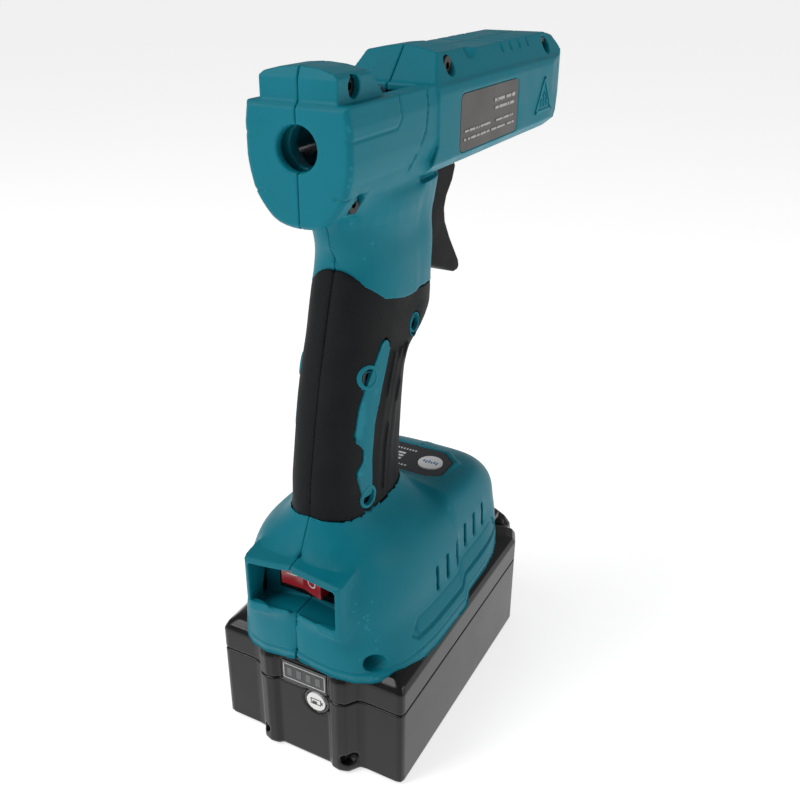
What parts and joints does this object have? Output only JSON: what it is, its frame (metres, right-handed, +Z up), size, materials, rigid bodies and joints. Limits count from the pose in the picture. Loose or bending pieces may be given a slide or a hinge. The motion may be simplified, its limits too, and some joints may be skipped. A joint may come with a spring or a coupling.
{
  "type": "cordless hot-melt glue gun",
  "caption": "Battery-powered hot-melt glue gun with a rear stick inlet, open loading trough, pistol grip with trigger, rocker switch and slide-on battery pack.",
  "frame": {"origin": "on the ground under the middle of the battery's width, at the grip's foot", "axes": "+X forward along the nozzle, +Y to the left, +Z up"},
  "size_m": [0.203, 0.0716, 0.2272],
  "materials": {
    "teal_housing": "satin moulded, fine spark texture",
    "black_rubber": "fine grain, matt",
    "black_plastic": "satin black",
    "battery_plastic": "semi-gloss black",
    "latch_plastic": "satin dark grey",
    "white_plastic": "satin white",
    "red_plastic": "semi-gloss translucent red",
    "plate_film": "printed film, satin",
    "panel_film": "printed film, satin",
    "label_film": "printed film with clear windows",
    "steel": "turned",
    "screw_steel": "black zinc",
    "aluminium": "cast, bead blasted",
    "brass": "turned",
    "silicone": "smooth matt",
    "ceramic": "unglazed ceramic and heat resistant board",
    "circuit_board": "green solder mask",
    "cell_sleeve": "shrink sleeve"
  },
  "bodies": {
    "housing": {"right_housing": "teal_housing", "left_housing": "teal_housing", "right_grip": "black_rubber", "left_grip": "black_rubber", "trigger_pin": "steel", "lever_pin": "steel", "right_guide_rod": "steel", "left_guide_rod": "steel", "right_return_spring": "steel", "left_return_spring": "steel", "feed_sleeve": "silicone", "sleeve_band": "steel", "melt_chamber": "aluminium", "heater_block": "ceramic", "heater_strap": "steel", "temperature_sensor": "ceramic", "rear_chamber_ring": "ceramic", "front_chamber_ring": "ceramic", "nozzle": "brass", "nozzle_cover": "black_rubber", "right_rating_plate": "plate_film", "left_rating_plate": "plate_film", "rocker_frame": "black_plastic", "panel_overlay": "panel_film", "panel_board": "circuit_board", "main_board": "circuit_board", "terminal_block": "black_plastic", "right_blade": "brass", "left_blade": "brass", "screw_head_top": "screw_steel", "screw_head_low": "screw_steel", "screw_barrel_rear": "screw_steel", "screw_barrel_front": "screw_steel", "screw_grip_front": "screw_steel", "screw_grip_middle": "screw_steel", "screw_grip_low": "screw_steel", "screw_foot_rear": "screw_steel"},
    "trigger": {"trigger": "black_plastic"},
    "push_link": {"push_link": "steel"},
    "feed_lever": {"feed_lever": "white_plastic"},
    "carriage": {"feed_carriage": "white_plastic", "clamp_pin": "steel"},
    "clamp": {"stick_clamp": "steel"},
    "rocker": {"rocker": "red_plastic"},
    "mode_button": {"mode_button": "white_plastic"},
    "pack": {"battery_case": "battery_plastic", "battery_lid": "battery_plastic", "charge_label": "label_film", "cell_1": "cell_sleeve", "cell_2": "cell_sleeve", "cell_3": "cell_sleeve", "cell_4": "cell_sleeve", "cell_5": "cell_sleeve", "cell_6": "cell_sleeve", "cell_7": "cell_sleeve", "cell_8": "cell_sleeve", "cell_9": "cell_sleeve", "cell_10": "cell_sleeve"},
    "latch": {"battery_latch": "latch_plastic"},
    "charge_button": {"charge_button": "white_plastic"}
  },
  "joints": [
    {"name": "trigger_pull", "type": "hinge", "parent": "housing", "child": "trigger", "pos_m": [0.024, 0, 0.1926], "axis": [0, 1, 0], "range_deg": [0, 15], "stiffness_Nm_per_rad": 0.9, "springref_deg": -14.32},
    {"name": "lever_swing", "type": "hinge", "parent": "housing", "child": "feed_lever", "pos_m": [-0.008, 0, 0.183], "axis": [0, 1, 0], "range_deg": [0, 23.3]},
    {"name": "link_swing", "type": "hinge", "parent": "trigger", "child": "push_link", "pos_m": [0.014, 0, 0.167], "axis": [0, 1, 0], "range_deg": [-20.9, 0]},
    {"name": "carriage_feed", "type": "slide", "parent": "housing", "child": "carriage", "axis": [1, 0, 0], "range_m": [0, 0.00526], "deforming": ["right_return_spring", "left_return_spring"]},
    {"name": "clamp_grip", "type": "hinge", "parent": "carriage", "child": "clamp", "pos_m": [-0.0095, 0, 0.211], "axis": [0, 1, 0], "range_deg": [0, 4.6]},
    {"name": "rocker_tilt", "type": "hinge", "parent": "housing", "child": "rocker", "pos_m": [-0.045, 0, 0.0738], "axis": [0, 0, 1], "range_deg": [0, 14]},
    {"name": "mode_press", "type": "slide", "parent": "housing", "child": "mode_button", "axis": [0, 0, -1], "range_m": [0, 0.0008], "stiffness_N_per_m": 1500, "springref_m": -0.0006},
    {"name": "pack_slide", "type": "slide", "parent": "housing", "child": "pack", "axis": [1, 0, 0], "range_m": [0, 0.09]},
    {"name": "latch_press", "type": "slide", "parent": "pack", "child": "latch", "axis": [0, 0, -1], "range_m": [0, 0.0018], "stiffness_N_per_m": 1200, "springref_m": -0.001},
    {"name": "charge_press", "type": "slide", "parent": "pack", "child": "charge_button", "axis": [1, 0, 0], "range_m": [0, 0.0004], "stiffness_N_per_m": 1200, "springref_m": -0.0005}
  ],
  "couplings": [
    {"joint": "lever_swing", "follows": "trigger_pull", "ratio": 1.547},
    {"joint": "link_swing", "follows": "trigger_pull", "ratio": -1.38},
    {"joint": "carriage_feed", "follows": "trigger_pull", "m_per_rad": 0.02},
    {"joint": "clamp_grip", "follows": "trigger_pull", "ratio": 0.3}
  ]
}
